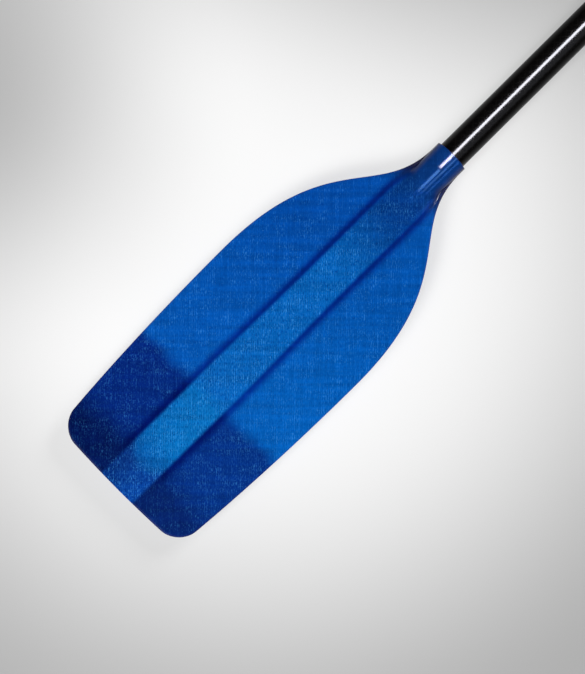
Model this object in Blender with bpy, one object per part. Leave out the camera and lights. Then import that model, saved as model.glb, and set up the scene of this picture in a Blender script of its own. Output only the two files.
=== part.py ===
# A canoe paddle for moving water: a straight round shaft, a flat laminated blade with a
# foam-cored rib along the middle of both faces, and a moulded T grip.
#
# The paddle lies on its back face. +X runs from the tip of the blade to the grip, +Z leaves the
# power face, and the origin is on the ground under the middle of the paddle. Lengths are in metres.

import math

import bpy
import bmesh
from mathutils import Vector

MM = 0.001

# Whole paddle
PADDLE_LENGTH = 1422 * MM
BOND_GAP = 0.3 * MM  # glue line between neighbouring pieces

# Shaft: a straight tube, scarfed at the foot so that the skins can fair down over it
SHAFT_RADIUS = 15.0 * MM
SHAFT_WALL = 2.4 * MM
SCARF_LAND = 0.8 * MM  # wall left at each side where the scarf ends
PLUG_LENGTH = 70 * MM  # of the foam in the foot of the shaft

# Blade outline, measured along the axis from the tip
BLADE_LENGTH = 453.5 * MM  # to the open end of the collar
BLADE_HALF_WIDTH = 91.6 * MM
TIP_HALF_WIDTH = 81.4 * MM  # of the side curves at the tip, before the corners are rounded
TIP_CORNER_RADIUS = 22.8 * MM
TIP_BOW = 1.4 * MM  # how far the middle of the tip stands ahead of its corners
BOW_FADE = 69 * MM  # length over which that bow runs out
SHOULDER_START = 234.5 * MM
SHOULDER_FULLNESS = 0.671  # shares of the shoulder's length that its curve's two handles reach
NECK_FULLNESS = 0.344
COLLAR_PLAIN = 7 * MM  # the end of the collar that is round all the way, with no flange

# Blade laminate
PANEL_THICKNESS = 3.6 * MM
EDGE_THICKNESS = 1.8 * MM
EDGE_ROUNDING = 3.5 * MM  # width of the band in which the panel thins to its edge
SKIN_WALL = 1.3 * MM  # over the core

# Rib, the same on both faces
RIB_HALF_WIDTH = 21.9 * MM  # to the middle of its side wall
RIB_WALL_RUN = 6.0 * MM
RIB_HEIGHT_AT_TIP = 3.3 * MM  # above the middle plane, once it has risen
RIB_HEIGHT_AT_NECK = 5.4 * MM
RIB_START = 12 * MM
RIB_RISE = 34 * MM
RIB_EDGE_MARGIN = 4.5 * MM  # least width of flange beside the rib's wall at the neck
CORE_START = 20 * MM

# Collar and nose: the skins' round socket for the shaft, and its slope down to the rib
COLLAR_WALL = 2.45 * MM
COLLAR_LENGTH = 19.6 * MM
NOSE_SLOPE = 0.164
CREASE_FILLET = 5.0 * MM
FLANGE_FADE = 22 * MM  # length over which the flange and rib run out at the collar

# Reinforcing plies at the tip: a long and a short one on each side of the core
PLY_THICKNESS = 0.3 * MM
PLY_EDGE_MARGIN = 1.0 * MM  # from the thinned edge band to the ply
PLY_CORE_MARGIN = 3.0 * MM  # from the rib's foot to the ply
LONG_PLY_END = 125 * MM
SHORT_PLY_END = 45 * MM

# T grip and the spigot that joins it to the shaft
GRIP_HEIGHT = 96 * MM  # from the end of the shaft to the top of the grip
GRIP_WIDTH = 112 * MM
GRIP_THICKNESS = 35.2 * MM
BAR_DEPTH = 36 * MM  # of the crossbar, along the shaft
BAR_DROOP = 2.2 * MM  # how far the top of the bar falls from its middle to its ends
# Along the bar from its middle: shares of its half width, of its depth and of its thickness
BAR_STATIONS = (
    (0.0, 0.95, 0.93),
    (0.36, 0.96, 0.95),
    (0.58, 1.0, 1.0),
    (0.78, 1.0, 1.0),
    (0.92, 0.9, 0.87),
    (1.0, 0.52, 0.48),
)
END_DRAWN_IN = 0.3 * MM  # what smoothing takes off each end of the bar
# Down the stem: shares of the grip's height, and of the stem's radius
STEM_STATIONS = ((0.45, 1.04), (0.25, 1.0), (0.02, 1.0), (0.0, 1.0))
GRIP_WALL = 3.2 * MM
STEM_LIP = 1.2 * MM  # how far the grip's stem stands proud of the shaft
SPIGOT_IN_SHAFT = 45 * MM
SPIGOT_IN_GRIP = 44 * MM
SPIGOT_WALL = 3.0 * MM

# Mesh fineness
ROUND_SIDES = 32
TOP_COLUMNS = 4  # grid columns over half the rib's flat top, and down its side wall
WALL_COLUMNS = 3
FILL_COLUMNS = 8  # over half the width of the foot plug
STEP_RUN = 0.7 * MM  # run of the steps in a skin's inner face
COLUMN_GAP = 0.3 * MM  # least spacing of the grid's columns, where the neck leaves little width
COLUMN_BLEND = 35 * MM  # length over which the columns spread to even arcs at the collar
CORNER_TURNS = (40, 55, 72)  # degrees round the tip's corners at which a row of points lies
RISE_ROWS = 9 * MM  # widest spacing of the rows on the rise of the rib
BLADE_ROWS = 38 * MM  # and on the straight of the blade
SHOULDER_ROWS = 18 * MM
NECK_ROWS = 8 * MM
SHARP_ANGLE = 35  # degrees between faces from which an edge is shaded sharp

# Worked out from the sizes above
SHAFT_END = PADDLE_LENGTH - GRIP_HEIGHT  # from the tip, as every place along the axis
BORE_RADIUS = SHAFT_RADIUS - SHAFT_WALL
FILL_RADIUS = BORE_RADIUS - BOND_GAP  # of what is glued into the bore
SOCKET_RADIUS = SHAFT_RADIUS + BOND_GAP
COLLAR_RADIUS = SOCKET_RADIUS + COLLAR_WALL
STEM_RADIUS = SHAFT_RADIUS + STEM_LIP
PARTING = BOND_GAP / 2  # each skin stops this far from the middle plane
PANEL_HALF = PANEL_THICKNESS / 2
EDGE_HALF = EDGE_THICKNESS / 2
NECK_END = BLADE_LENGTH - COLLAR_PLAIN
NECK_HALF_WIDTH = math.sqrt(COLLAR_RADIUS**2 - EDGE_HALF**2)
COLLAR_START = BLADE_LENGTH - COLLAR_LENGTH
NOSE_START = COLLAR_START - (COLLAR_RADIUS - RIB_HEIGHT_AT_NECK) / NOSE_SLOPE
FOOT_DROP = math.sqrt(SHAFT_RADIUS**2 - (BORE_RADIUS + SCARF_LAND) ** 2)
FOOT_END = COLLAR_START - FOOT_DROP / NOSE_SLOPE
RIB_FULL = RIB_START + RIB_RISE
PLY_START = EDGE_ROUNDING + PLY_EDGE_MARGIN
POCKET_START = PLY_START - BOND_GAP
POCKET_END = LONG_PLY_END + BOND_GAP
POCKET_HALF = PARTING + PLY_THICKNESS + BOND_GAP


def clamp(value, low, high):
    return max(low, min(high, value))


def ease(share):
    share = clamp(share, 0, 1)
    return share * share * (3 - 2 * share)


def soft_max(a, b, fillet):
    near = max(fillet - abs(a - b), 0) / fillet
    return max(a, b) + near * near * fillet / 4


def soft_min(a, b, fillet):
    return -soft_max(-a, -b, fillet)


def arch(radius, y):
    return math.sqrt(max(radius**2 - y**2, 0))


# Outline: half the blade's width at a distance d from the tip


def side_half_width(d):
    ahead = max(SHOULDER_START - d, 0) / SHOULDER_START
    return BLADE_HALF_WIDTH - (BLADE_HALF_WIDTH - TIP_HALF_WIDTH) * ahead**2


def shoulder_half_width(d):
    # A cubic Bezier curve, level at both ends. Its parameter is found by halving.
    length = NECK_END - SHOULDER_START
    upper = SHOULDER_FULLNESS * length
    lower = (1 - NECK_FULLNESS) * length
    low, high = 0.0, 1.0
    for _ in range(40):
        t = (low + high) / 2
        reached = 3 * (1 - t) ** 2 * t * upper + 3 * (1 - t) * t**2 * lower + t**3 * length
        if reached < d - SHOULDER_START:
            low = t
        else:
            high = t
    return BLADE_HALF_WIDTH + (NECK_HALF_WIDTH - BLADE_HALF_WIDTH) * ease(t)


def half_width(d):
    if d < TIP_CORNER_RADIUS:
        return side_half_width(d) - TIP_CORNER_RADIUS + arch(TIP_CORNER_RADIUS, TIP_CORNER_RADIUS - d)
    if d < SHOULDER_START:
        return side_half_width(d)
    if d < NECK_END:
        return shoulder_half_width(d)
    return NECK_HALF_WIDTH


def edge_distance(d, y):
    probe = 0.1 * MM
    slope = (half_width(d + probe) - half_width(max(d - probe, 0))) / (2 * probe)
    return clamp((half_width(d) - abs(y)) / math.hypot(1, slope), 0, d)


# Faces: height above the middle plane. The inset is how far a surface lies under the outer one.


def panel_height(d, y):
    share = clamp(edge_distance(d, y) / EDGE_ROUNDING, 0, 1)
    return EDGE_HALF + (PANEL_HALF - EDGE_HALF) * math.sqrt(1 - (1 - share) ** 2)


def rib_half_width(d):
    return soft_min(RIB_HALF_WIDTH, half_width(d) - RIB_EDGE_MARGIN, RIB_WALL_RUN)


def rib_height(d):
    along = clamp((d - RIB_FULL) / (NOSE_START - RIB_FULL), 0, 1)
    full = RIB_HEIGHT_AT_TIP + (RIB_HEIGHT_AT_NECK - RIB_HEIGHT_AT_TIP) * along
    return PANEL_HALF + (full - PANEL_HALF) * ease((d - RIB_START) / RIB_RISE)


def with_rib(d, y, inset, floor):
    beyond_top = (abs(y) - rib_half_width(d) + inset) / RIB_WALL_RUN + 0.5
    return floor + (rib_height(d) - inset - floor) * (1 - ease(beyond_top))


def nose_drop(d):
    return NOSE_SLOPE * max(COLLAR_START - d, 0)


def nose_height(d, y, radius):
    return arch(radius, y) - nose_drop(d)


def nose_half_width(d, radius):
    return math.sqrt(radius**2 - (nose_drop(d) + PARTING) ** 2)


def outer_height(d, y):
    left = ease((COLLAR_START - d) / FLANGE_FADE)  # 1 on the blade, 0 from the collar on
    deck = with_rib(d, y, 0, panel_height(d, y))
    deck = EDGE_HALF + (deck - EDGE_HALF) * left
    fillet = max(CREASE_FILLET * left, PARTING)
    return max(soft_max(deck, nose_height(d, y, COLLAR_RADIUS), fillet), EDGE_HALF)


def core_height(d, y, inset, radius):
    return soft_max(with_rib(d, y, inset, PARTING), nose_height(d, y, radius), CREASE_FILLET)


# Grids: a row of points for each distance from the tip, from the -Y edge to the +Y edge


def spot(d, y, z):
    bow = TIP_BOW * (y / half_width(0)) ** 2 * (1 - ease(d / BOW_FADE))
    return Vector((d + bow, y, z))


def both_sides(half):
    return [-y for y in reversed(half[1:])] + half


def blade_columns(d, inset):
    width = half_width(d)
    top = rib_half_width(d) - inset - RIB_WALL_RUN / 2
    foot = top + RIB_WALL_RUN
    pocket = foot + inset + PLY_CORE_MARGIN - BOND_GAP
    rim = width - POCKET_START
    flat = [top * k / TOP_COLUMNS for k in range(TOP_COLUMNS + 1)]
    wall = [top + RIB_WALL_RUN * (k + 1) / WALL_COLUMNS for k in range(WALL_COLUMNS)]
    side = [pocket, rim, width - EDGE_ROUNDING, width - EDGE_ROUNDING / 4, width]
    round_share = 1 - ease((COLLAR_START - d) / COLUMN_BLEND)
    spread = flat + wall + side
    last = len(spread) - 1
    for k in range(last - 1, 0, -1):
        spread[k] = min(spread[k], spread[k + 1] - COLUMN_GAP)
    half = []
    for k, y in enumerate(spread):
        on_arc = width * math.sin(math.pi / 2 * k / last)
        half.append(y + (on_arc - y) * round_share)
    return half


def socket_columns(d):
    # The last column is at the outline, and the rest lie over the socket
    reach = nose_half_width(d, SOCKET_RADIUS)
    last = len(blade_columns(d, 0)) - 2
    half = [reach * math.sin(math.pi / 2 * k / last) for k in range(last + 1)]
    return half + [half_width(d)]


def rows_between(start, end, longest):
    count = max(1, math.ceil((end - start) / longest))
    return [start + (end - start) * k / count for k in range(1, count)]


def skin_rows():
    kept = [0, POCKET_START - STEP_RUN, POCKET_START, POCKET_END, POCKET_END + STEP_RUN]
    kept += [CORE_START - BOND_GAP - STEP_RUN, CORE_START - BOND_GAP]
    kept += [FOOT_END, FOOT_END + BOND_GAP, COLLAR_START, NECK_END, BLADE_LENGTH]
    spare = [EDGE_ROUNDING / 4, TIP_CORNER_RADIUS, RIB_START, RIB_FULL, NOSE_START, SHOULDER_START]
    spare += [TIP_CORNER_RADIUS * (1 - math.cos(math.radians(turn))) for turn in CORNER_TURNS]
    spare += rows_between(RIB_START, RIB_FULL, RISE_ROWS)
    spare += rows_between(RIB_FULL, SHOULDER_START, BLADE_ROWS)
    spare += rows_between(SHOULDER_START, NOSE_START, SHOULDER_ROWS)
    spare += rows_between(NOSE_START, COLLAR_START, NECK_ROWS)
    rows = list(kept)
    for d in spare:
        if all(abs(d - other) > STEP_RUN for other in rows):
            rows.append(d)
    return sorted(rows)


def outer_grid(rows):
    grid = []
    for d in rows:
        grid.append([spot(d, y, outer_height(d, y)) for y in both_sides(blade_columns(d, 0))])
    return grid


def inner_grid(rows):
    foot_column = TOP_COLUMNS + WALL_COLUMNS
    pocket_columns = (foot_column + 1, foot_column + 2)
    tiny = 1e-6
    grid = []
    for d in rows:
        in_socket = d > FOOT_END + tiny
        in_core = CORE_START - BOND_GAP - tiny < d < FOOT_END + tiny
        in_pocket = POCKET_START - tiny < d < POCKET_END + tiny
        half = socket_columns(d) if in_socket else blade_columns(d, SKIN_WALL)
        heights = []
        for k, y in enumerate(half):
            z = PARTING
            if in_socket and k < len(half) - 1:
                z = max(PARTING, nose_height(d, y, SOCKET_RADIUS))
            if in_core:
                z = max(PARTING, core_height(d, y, SKIN_WALL, SOCKET_RADIUS))
            if in_pocket and k in pocket_columns:
                z = POCKET_HALF
            heights.append(z)
        levels = list(reversed(heights[1:])) + heights
        grid.append([spot(d, y, z) for y, z in zip(both_sides(half), levels)])
    return grid


def flipped(grid):
    return [[Vector((p.x, p.y, -p.z)) for p in row] for row in grid]


# Objects


def clear_scene():
    for thing in list(bpy.data.objects):
        bpy.data.objects.remove(thing, do_unlink=True)


def add_axis():
    # The paddle's axis, from the tip towards the grip. Every piece is placed along it.
    axis = bpy.data.objects.new("paddle_axis", None)
    axis.location = (-PADDLE_LENGTH / 2, 0, COLLAR_RADIUS)
    bpy.context.collection.objects.link(axis)
    return axis


def finish_of(name, colour, roughness, metallic=0.0):
    finish = bpy.data.materials.new(name)
    finish.use_nodes = True
    shader = finish.node_tree.nodes["Principled BSDF"]
    shader.inputs["Base Color"].default_value = (*colour, 1)
    shader.inputs["Roughness"].default_value = roughness
    shader.inputs["Metallic"].default_value = metallic
    finish.diffuse_color = (*colour, 1)
    return finish


def add_object(name, bm, finish=None, at=0.0):
    bmesh.ops.recalc_face_normals(bm, faces=bm.faces)
    mesh = bpy.data.meshes.new(name)
    bm.to_mesh(mesh)
    bm.free()
    mesh.shade_smooth()
    mesh.set_sharp_from_angle(angle=math.radians(SHARP_ANGLE))
    thing = bpy.data.objects.new(name, mesh)
    thing.parent = bpy.data.objects["paddle_axis"]
    thing.location.x = at
    bpy.context.collection.objects.link(thing)
    if finish:
        mesh.materials.append(finish)
    return thing


def add_cutter(name, bm, at=0.0):
    cutter = add_object(name, bm, at=at)
    cutter.hide_render = True
    cutter.display_type = "WIRE"
    return cutter


def cut(thing, cutter, solver="EXACT"):
    boolean = thing.modifiers.new(cutter.name, "BOOLEAN")
    boolean.operation = "DIFFERENCE"
    boolean.solver = solver
    boolean.object = cutter


def add_slab(name, top, bottom, finish):
    # A closed solid between two grids of the same shape
    bm = bmesh.new()
    upper = [[bm.verts.new(p) for p in row] for row in top]
    lower = [[bm.verts.new(p) for p in row] for row in bottom]
    last_row = len(top) - 1
    last_column = len(top[0]) - 1
    for i in range(last_row):
        for j in range(last_column):
            bm.faces.new((upper[i][j], upper[i + 1][j], upper[i + 1][j + 1], upper[i][j + 1]))
            bm.faces.new((lower[i][j], lower[i][j + 1], lower[i + 1][j + 1], lower[i + 1][j]))
    for i in range(last_row):
        for j in (0, last_column):
            bm.faces.new((upper[i][j], upper[i + 1][j], lower[i + 1][j], lower[i][j]))
    for j in range(last_column):
        for i in (0, last_row):
            bm.faces.new((upper[i][j], upper[i][j + 1], lower[i][j + 1], lower[i][j]))
    return add_object(name, bm, finish)


def loft(bm, rings):
    # Closed rings of the same count, joined by walls and capped at both ends
    rings = [[bm.verts.new(p) for p in ring] for ring in rings]
    for first, second in zip(rings, rings[1:]):
        for k in range(len(first)):
            after = (k + 1) % len(first)
            bm.faces.new((first[k], first[after], second[after], second[k]))
    bm.faces.new(rings[0])
    bm.faces.new(rings[-1])
    return rings


def round_ring(x, radius):
    ring = []
    for k in range(ROUND_SIDES):
        turn = 2 * math.pi * k / ROUND_SIDES
        ring.append(Vector((x, radius * math.cos(turn), radius * math.sin(turn))))
    return ring


def rod(start, end, radius):
    bm = bmesh.new()
    loft(bm, [round_ring(start, radius), round_ring(end, radius)])
    return bm


# Blade


def add_skins(finish):
    rows = skin_rows()
    outer = outer_grid(rows)
    inner = inner_grid(rows)
    add_slab("power_face_skin", outer, inner, finish)
    add_slab("back_face_skin", flipped(outer), flipped(inner), finish)


def add_core(finish):
    inset = SKIN_WALL + BOND_GAP
    rows = [CORE_START] + [d for d in skin_rows() if CORE_START < d < FOOT_END] + [FOOT_END - BOND_GAP]
    top = []
    for d in rows:
        half = blade_columns(d, inset)[: TOP_COLUMNS + WALL_COLUMNS]
        row = []
        for y in both_sides(half):
            row.append(spot(d, y, max(PARTING, core_height(d, y, inset, SHAFT_RADIUS))))
        top.append(row)
    add_slab("spine_core", top, flipped(top), finish)


def add_ply(name, side, end, level, finish):
    rows = [PLY_START] + [d for d in skin_rows() if PLY_START < d < end - STEP_RUN] + [end]
    near = RIB_HALF_WIDTH + RIB_WALL_RUN / 2 + PLY_CORE_MARGIN
    top = []
    bottom = []
    for d in rows:
        far = half_width(d) - PLY_START
        top.append([spot(d, side * y, level + PLY_THICKNESS) for y in (near, far)])
        bottom.append([spot(d, side * y, level) for y in (near, far)])
    add_slab(name, top, bottom, finish)


def add_plies(finish):
    for word, side in (("left", 1), ("right", -1)):
        add_ply(f"tip_ply_long_{word}", side, LONG_PLY_END, -PARTING - PLY_THICKNESS, finish)
        add_ply(f"tip_ply_short_{word}", side, SHORT_PLY_END, PARTING, finish)


# Shaft


def scarf_ring(d):
    drop = nose_drop(d)
    reach = math.sqrt(SHAFT_RADIUS**2 - drop**2)
    ring = []
    for k in range(ROUND_SIDES):
        turn = 2 * math.pi * k / ROUND_SIDES
        y = reach * math.cos(turn)
        z = math.copysign(max(arch(SHAFT_RADIUS, y) - drop, 0), math.sin(turn))
        if k % (ROUND_SIDES // 2) == 0:
            z = 0.0
        ring.append(Vector((d, y, z)))
    return ring


def scarf_rows():
    return [FOOT_END] + rows_between(FOOT_END, COLLAR_START, NECK_ROWS) + [COLLAR_START]


def add_shaft(finish):
    bm = bmesh.new()
    end = SHAFT_END - BOND_GAP
    loft(bm, [scarf_ring(d) for d in scarf_rows()] + [round_ring(end, SHAFT_RADIUS)])
    shaft = add_object("shaft_tube", bm, finish)
    bore = rod(FOOT_END - SHAFT_RADIUS, end + SHAFT_RADIUS, BORE_RADIUS)
    cut(shaft, add_cutter("shaft_bore_cutter", bore))


def add_foot_plug(finish):
    top = []
    for d in scarf_rows() + [FOOT_END + PLUG_LENGTH]:
        reach = min(FILL_RADIUS, nose_half_width(d, SHAFT_RADIUS))
        half = [reach * math.sin(math.pi / 2 * k / FILL_COLUMNS) for k in range(FILL_COLUMNS + 1)]
        row = []
        for y in both_sides(half):
            z = min(arch(FILL_RADIUS, y), nose_height(d, y, SHAFT_RADIUS))
            row.append(Vector((d, y, max(z, PARTING))))
        top.append(row)
    add_slab("shaft_foot_plug", top, flipped(top), finish)


# Grip, in its own frame: x is the distance from the end of the shaft


def cage_ring(place, radius_y, radius_z):
    # Eight corners of a smoothed ring. Smoothing draws such a ring in to a fixed share of its
    # radius, so the cage is made that much larger.
    drawn_in = (2 + math.cos(math.pi / 4)) / 3
    ring = []
    for k in range(8):
        turn = math.pi / 4 * k
        across = Vector((0, radius_y * math.cos(turn), radius_z * math.sin(turn)))
        ring.append(Vector(place) + across / drawn_in)
    return ring


def bar_rings(inset):
    rings = []
    for reach, depth_share, thickness_share in BAR_STATIONS:
        depth = BAR_DEPTH * depth_share
        thickness = GRIP_THICKNESS * thickness_share
        middle = GRIP_HEIGHT - BAR_DROOP * reach**2 - depth / 2
        ring = []
        for p in cage_ring((0, 0, 0), depth / 2 - inset, thickness / 2 - inset):
            y = reach * (GRIP_WIDTH / 2 + END_DRAWN_IN - inset)
            ring.append(Vector((middle + p.y, y, p.z)))
        rings.append(ring)
    mirrored = [[Vector((p.x, -p.y, p.z)) for p in ring] for ring in reversed(rings[1:])]
    return mirrored + rings


def add_stem(bm, rings):
    # The four faces under the middle of the bar give way to a stem with eight-sided rings
    middle = len(rings) // 2
    under = len(rings[middle]) // 2  # the ring's point on the bar's underside, and its neighbours
    front = under - 1
    back = under + 1
    above = [
        rings[middle + 1][under],
        rings[middle + 1][front],
        rings[middle][front],
        rings[middle - 1][front],
        rings[middle - 1][under],
        rings[middle - 1][back],
        rings[middle][back],
        rings[middle + 1][back],
    ]
    centre = rings[middle][under]
    for face in list(centre.link_faces):
        bm.faces.remove(face)
    bm.verts.remove(centre)
    for share, swell in STEM_STATIONS:
        radius = STEM_RADIUS * swell
        ring = [bm.verts.new(p) for p in cage_ring((GRIP_HEIGHT * share, 0, 0), radius, radius)]
        for k in range(8):
            after = (k + 1) % 8
            bm.faces.new((above[k], above[after], ring[after], ring[k]))
        above = ring
    bm.faces.new(above)
    crease = bm.edges.layers.float.new("crease_edge")
    for k in range(8):
        bm.edges.get((above[k], above[(k + 1) % 8]))[crease] = 1.0


def smooth(thing, levels):
    subdivision = thing.modifiers.new("smooth", "SUBSURF")
    subdivision.levels = levels
    subdivision.render_levels = levels


def add_grip_half(name, up, hollow, bore, finish):
    bm = bmesh.new()
    add_stem(bm, loft(bm, bar_rings(0)))
    half = add_object(name, bm, finish, SHAFT_END)
    smooth(half, 2)
    box = bmesh.new()
    reach = GRIP_WIDTH
    corners = ((-reach, -reach), (-reach, reach), (reach, reach), (reach, -reach))
    loft(box, [[Vector((x, y, z)) for x, y in corners] for z in (up * PARTING, -up * reach)])
    parting = add_cutter(f"{name}_parting", box, SHAFT_END)
    for cutter in (parting, hollow, bore):
        cut(half, cutter, "MANIFOLD")  # EXACT leaves open edges along the parting face


def add_grip(finish):
    bm = bmesh.new()
    loft(bm, bar_rings(GRIP_WALL))
    hollow = add_cutter("grip_hollow_cutter", bm, SHAFT_END)
    smooth(hollow, 1)
    channel = rod(-GRIP_WALL, GRIP_HEIGHT - BAR_DEPTH / 2, BORE_RADIUS)
    bore = add_cutter("grip_bore_cutter", channel, SHAFT_END)
    add_grip_half("grip_shell_power_side", 1, hollow, bore, finish)
    add_grip_half("grip_shell_back_side", -1, hollow, bore, finish)


def add_spigot(finish):
    body = rod(-SPIGOT_IN_SHAFT, SPIGOT_IN_GRIP, FILL_RADIUS)
    spigot = add_object("grip_spigot", body, finish, SHAFT_END)
    clear = SPIGOT_WALL
    bore = rod(-SPIGOT_IN_SHAFT - clear, SPIGOT_IN_GRIP + clear, FILL_RADIUS - SPIGOT_WALL)
    cut(spigot, add_cutter("spigot_bore_cutter", bore, SHAFT_END))


def main():
    clear_scene()
    add_axis()
    laminate = finish_of("blue_laminate", (0.003, 0.085, 0.41), 0.35)
    cloth = finish_of("dark_blue_cloth", (0.002, 0.028, 0.22), 0.6)
    foam = finish_of("pale_foam", (0.62, 0.64, 0.6), 0.9)
    tube = finish_of("black_wound_tube", (0.009, 0.009, 0.01), 0.3)
    plastic = finish_of("black_moulded_plastic", (0.014, 0.014, 0.015), 0.45)
    add_skins(laminate)
    add_core(foam)
    add_plies(cloth)
    add_shaft(tube)
    add_foot_plug(foam)
    add_grip(plastic)
    add_spigot(tube)


main()
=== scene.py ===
# A canoe paddle for moving water, lying face up on a pale studio floor.
#
# Sizes are in millimetres until a mesh is made. "along" is the distance from the tip of the
# blade, "across" is measured from the paddle's axis and "level" from the blade's middle plane.

import math

import bmesh
import bpy
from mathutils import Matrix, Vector


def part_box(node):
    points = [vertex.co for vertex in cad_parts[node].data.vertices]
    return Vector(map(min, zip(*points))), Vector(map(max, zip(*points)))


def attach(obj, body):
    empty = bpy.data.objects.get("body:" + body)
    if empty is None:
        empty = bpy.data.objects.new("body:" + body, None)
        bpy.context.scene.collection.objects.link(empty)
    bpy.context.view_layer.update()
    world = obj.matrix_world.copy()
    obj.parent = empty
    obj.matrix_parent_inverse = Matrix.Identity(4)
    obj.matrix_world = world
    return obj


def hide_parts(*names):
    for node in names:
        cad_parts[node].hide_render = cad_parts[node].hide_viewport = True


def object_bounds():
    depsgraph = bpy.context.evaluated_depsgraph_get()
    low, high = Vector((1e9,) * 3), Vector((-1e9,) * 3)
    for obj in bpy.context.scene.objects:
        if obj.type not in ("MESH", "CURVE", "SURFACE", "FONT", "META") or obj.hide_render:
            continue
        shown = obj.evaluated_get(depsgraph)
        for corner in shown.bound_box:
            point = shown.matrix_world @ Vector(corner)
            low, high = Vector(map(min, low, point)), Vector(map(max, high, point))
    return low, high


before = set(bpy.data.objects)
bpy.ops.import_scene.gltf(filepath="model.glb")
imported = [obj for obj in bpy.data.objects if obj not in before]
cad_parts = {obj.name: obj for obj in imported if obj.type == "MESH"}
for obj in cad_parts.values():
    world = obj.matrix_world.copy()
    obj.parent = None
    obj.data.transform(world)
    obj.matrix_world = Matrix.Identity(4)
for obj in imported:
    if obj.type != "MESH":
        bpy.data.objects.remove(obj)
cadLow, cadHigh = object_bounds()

mm = 0.001
sharpAngle = math.radians(35)  # edges that turn more than this stay crisp
powerLow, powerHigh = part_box("power_face_skin")
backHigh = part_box("back_face_skin")[1]
tubeLow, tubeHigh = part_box("shaft_tube")
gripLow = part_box("grip_shell_power_side")[0]

tipX = powerLow[0]
middleZ = (powerLow[2] + backHigh[2]) / 2
parting = (powerLow[2] - backHigh[2]) / 2 / mm  # each half stops this far from the middle plane
glueLine = parting * 2

bladeShape = {
    "length": (powerHigh[0] - tipX) / mm,
    "halfWidth": powerHigh[1] / mm,
    "tipHalfWidth": 81.4,  # of the side curves at the tip, before the corners are rounded
    "tipCorner": 22.8,
    "tipBow": 1.4,  # how far the middle of the tip stands ahead of its corners
    "bowFade": 69,
    "shoulderStart": 234.5,
    "shoulderFullness": 0.671,  # shares of the shoulder that its curve's handles reach
    "neckFullness": 0.344,
    "collarPlain": 7,  # end of the collar that is round all the way
    "panel": 3.6,
    "edge": 1.8,
    "edgeRounding": 3.5,
    "rimRadius": 0.3,  # rounding of the very edge, sanded by hand
    "wall": 1.3,
}
rib = {
    "halfWidth": 21.9,
    "wallRun": 6.0,
    "tipHeight": 3.3,  # above the middle plane
    "neckHeight": 5.4,
    "start": 12,
    "rise": 34,
    "edgeMargin": 4.5,
    "coreStart": 20,
}
neck = {
    "outer": (powerHigh[2] - middleZ) / mm,
    "socket": (tubeHigh[2] - tubeLow[2]) / 2 / mm + glueLine,
    "collarLength": 19.6,
    "slope": 0.164,
    "crease": 5.0,
    "flangeFade": 22,
    "columnBlend": 35,
}
tipCloth = {"thickness": 0.3, "edgeMargin": 1.0, "coreMargin": 3.0, "longEnd": 125}
shaft = {
    "radius": (tubeHigh[2] - tubeLow[2]) / 2 / mm,
    "wall": 2.4,
    "foot": (tubeLow[0] - tipX) / mm,
    "end": (tubeHigh[0] - tipX) / mm,
    "sides": 128,
    "scarfSteps": 24,
    "endChamfer": 0.25,
}
# The blade's mesh: the spacing of its rows, the turns round a tip corner, the columns on each stretch
# of a row and the least gap between two of them
fineness = {"rows": 1.6, "cornerTurns": 26, "top": 12, "wall": 12, "panel": 18, "edge": 9, "gap": 0.06}

collarStart = bladeShape["length"] - neck["collarLength"]
neckEnd = bladeShape["length"] - bladeShape["collarPlain"]
noseStart = collarStart - (neck["outer"] - rib["neckHeight"]) / neck["slope"]
ribFull = rib["start"] + rib["rise"]
pocketStart = bladeShape["edgeRounding"] + tipCloth["edgeMargin"] - glueLine
pocketEnd = tipCloth["longEnd"] + glueLine
pocketLevel = parting + tipCloth["thickness"] + glueLine
stepRun = 0.7


def clamp(value, low, high):
    return max(low, min(high, value))


def ease(share):
    share = clamp(share, 0, 1)
    return share * share * (3 - 2 * share)


def softMax(a, b, fillet):
    near = max(fillet - abs(a - b), 0) / fillet
    return max(a, b) + near * near * fillet / 4


def arch(radius, across):
    return math.sqrt(max(radius**2 - across**2, 0))


def toWorld(along, across, level):
    return Vector((tipX + along * mm, across * mm, middleZ + level * mm))


# Meshes


def newPiece(name, shell, material):
    bmesh.ops.recalc_face_normals(shell, faces=shell.faces)
    mesh = bpy.data.meshes.new(name)
    shell.to_mesh(mesh)
    shell.free()
    mesh.shade_smooth()
    mesh.set_sharp_from_angle(angle=sharpAngle)
    mesh.materials.append(material)
    piece = bpy.data.objects.new(name, mesh)
    bpy.context.collection.objects.link(piece)
    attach(piece, "root")
    return piece


def slab(top, bottom):
    # A closed shell between two grids of the same shape
    shell = bmesh.new()
    upper = [[shell.verts.new(p) for p in row] for row in top]
    lower = [[shell.verts.new(p) for p in row] for row in bottom]
    lastRow, lastColumn = len(top) - 1, len(top[0]) - 1
    for i in range(lastRow):
        for j in range(lastColumn):
            shell.faces.new((upper[i][j], upper[i + 1][j], upper[i + 1][j + 1], upper[i][j + 1]))
            shell.faces.new((lower[i][j], lower[i][j + 1], lower[i + 1][j + 1], lower[i + 1][j]))
    for i in range(lastRow):
        for j in (0, lastColumn):
            shell.faces.new((upper[i][j], upper[i + 1][j], lower[i + 1][j], lower[i][j]))
    for j in range(lastColumn):
        for i in (0, lastRow):
            shell.faces.new((upper[i][j], upper[i][j + 1], lower[i][j + 1], lower[i][j]))
    return shell


def loft(rings, closed=False):
    # Rings of the same count, joined by walls, and capped or closed on themselves
    shell = bmesh.new()
    made = [[shell.verts.new(p) for p in ring] for ring in rings]
    pairs = list(zip(made, made[1:])) + ([(made[-1], made[0])] if closed else [])
    for first, second in pairs:
        for k in range(len(first)):
            after = (k + 1) % len(first)
            shell.faces.new((first[k], first[after], second[after], second[k]))
    if not closed:
        shell.faces.new(made[0])
        shell.faces.new(made[-1])
    return shell, made


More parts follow.
